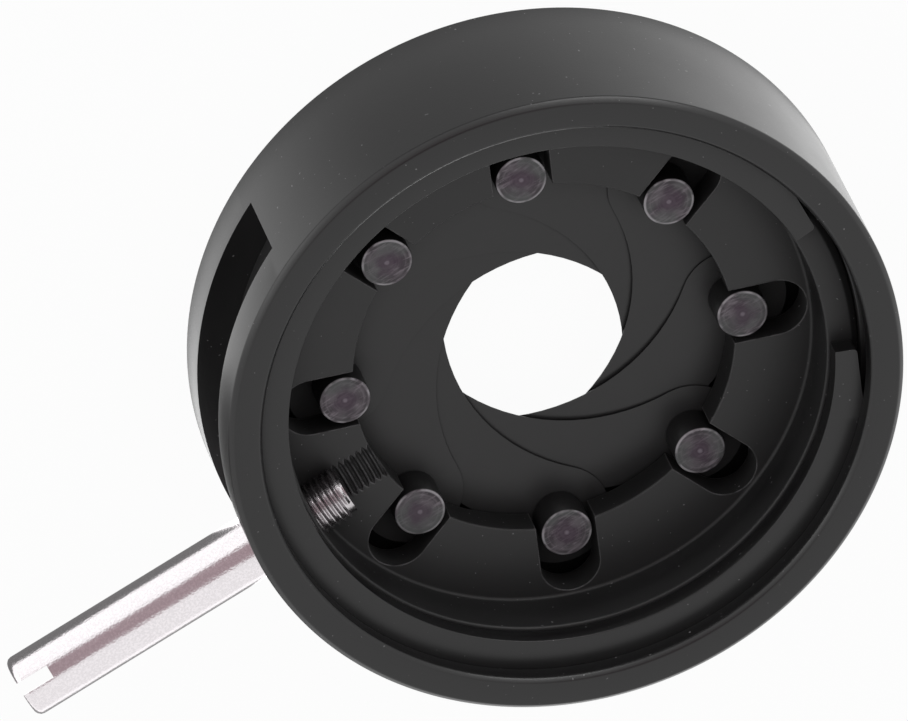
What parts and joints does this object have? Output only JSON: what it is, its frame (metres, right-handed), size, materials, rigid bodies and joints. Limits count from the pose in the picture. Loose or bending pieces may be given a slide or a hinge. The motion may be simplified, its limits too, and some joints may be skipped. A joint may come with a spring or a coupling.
{
  "type": "iris diaphragm",
  "caption": "Lever-operated iris diaphragm: a black cup housing with a slotted cam ring that swings overlapping leaves to open and close a near-round aperture.",
  "frame": {"origin": "centre of the clear hole at the back face of the housing, on the optical axis", "axes": "+Z along the optical axis out of the open front, +X along the lever in the pose drawn"},
  "size_m": [0.0349, 0.025, 0.0074],
  "materials": {
    "black_housing": "matte black anodised",
    "black_ring": "blackened spring steel",
    "black_cam": "matte black anodised",
    "leaf_steel": "thin blackened spring steel",
    "pin_steel": "turned ends, burnished dark",
    "bright_lever": "bright turned steel"
  },
  "bodies": {
    "housing": {"housing": "black_housing", "snap_ring": "black_ring"},
    "cam": {"cam_ring": "black_cam", "lever": "bright_lever"},
    "leaf_1": {"blade_1": "leaf_steel", "pivot_pin_1": "pin_steel", "drive_pin_1": "pin_steel"},
    "leaf_2": {"blade_2": "leaf_steel", "pivot_pin_2": "pin_steel", "drive_pin_2": "pin_steel"},
    "leaf_3": {"blade_3": "leaf_steel", "pivot_pin_3": "pin_steel", "drive_pin_3": "pin_steel"},
    "leaf_4": {"blade_4": "leaf_steel", "pivot_pin_4": "pin_steel", "drive_pin_4": "pin_steel"},
    "leaf_5": {"blade_5": "leaf_steel", "pivot_pin_5": "pin_steel", "drive_pin_5": "pin_steel"},
    "leaf_6": {"blade_6": "leaf_steel", "pivot_pin_6": "pin_steel", "drive_pin_6": "pin_steel"},
    "leaf_7": {"blade_7": "leaf_steel", "pivot_pin_7": "pin_steel", "drive_pin_7": "pin_steel"},
    "leaf_8": {"blade_8": "leaf_steel", "pivot_pin_8": "pin_steel", "drive_pin_8": "pin_steel"}
  },
  "joints": [
    {"name": "cam_turn", "type": "hinge", "parent": "housing", "child": "cam", "pos_m": [0, 0, 0.00198], "axis": [0, 0, 1], "range_deg": [-48, 31]},
    {"name": "leaf_1_swing", "type": "hinge", "parent": "housing", "child": "leaf_1", "pos_m": [-0.00835, -0.00307, 0.0013], "axis": [0, 0, 1], "range_deg": [-23.45, 15.15]},
    {"name": "leaf_2_swing", "type": "hinge", "parent": "housing", "child": "leaf_2", "pos_m": [-0.00373, -0.00808, 0.0013], "axis": [0, 0, 1], "range_deg": [-23.45, 15.15]},
    {"name": "leaf_3_swing", "type": "hinge", "parent": "housing", "child": "leaf_3", "pos_m": [0.00307, -0.00835, 0.0013], "axis": [0, 0, 1], "range_deg": [-23.45, 15.15]},
    {"name": "leaf_4_swing", "type": "hinge", "parent": "housing", "child": "leaf_4", "pos_m": [0.00808, -0.00373, 0.0013], "axis": [0, 0, 1], "range_deg": [-23.45, 15.15]},
    {"name": "leaf_5_swing", "type": "hinge", "parent": "housing", "child": "leaf_5", "pos_m": [0.00835, 0.00307, 0.0013], "axis": [0, 0, 1], "range_deg": [-23.45, 15.15]},
    {"name": "leaf_6_swing", "type": "hinge", "parent": "housing", "child": "leaf_6", "pos_m": [0.00373, 0.00808, 0.0013], "axis": [0, 0, 1], "range_deg": [-23.45, 15.15]},
    {"name": "leaf_7_swing", "type": "hinge", "parent": "housing", "child": "leaf_7", "pos_m": [-0.00307, 0.00835, 0.0013], "axis": [0, 0, 1], "range_deg": [-23.45, 15.15]},
    {"name": "leaf_8_swing", "type": "hinge", "parent": "housing", "child": "leaf_8", "pos_m": [-0.00808, 0.00373, 0.0013], "axis": [0, 0, 1], "range_deg": [-23.45, 15.15]}
  ],
  "couplings": [
    {"joint": "leaf_1_swing", "follows": "cam_turn", "ratio": 0.4878},
    {"joint": "leaf_2_swing", "follows": "cam_turn", "ratio": 0.4878},
    {"joint": "leaf_3_swing", "follows": "cam_turn", "ratio": 0.4878},
    {"joint": "leaf_4_swing", "follows": "cam_turn", "ratio": 0.4878},
    {"joint": "leaf_5_swing", "follows": "cam_turn", "ratio": 0.4878},
    {"joint": "leaf_6_swing", "follows": "cam_turn", "ratio": 0.4878},
    {"joint": "leaf_7_swing", "follows": "cam_turn", "ratio": 0.4878},
    {"joint": "leaf_8_swing", "follows": "cam_turn", "ratio": 0.4878}
  ]
}
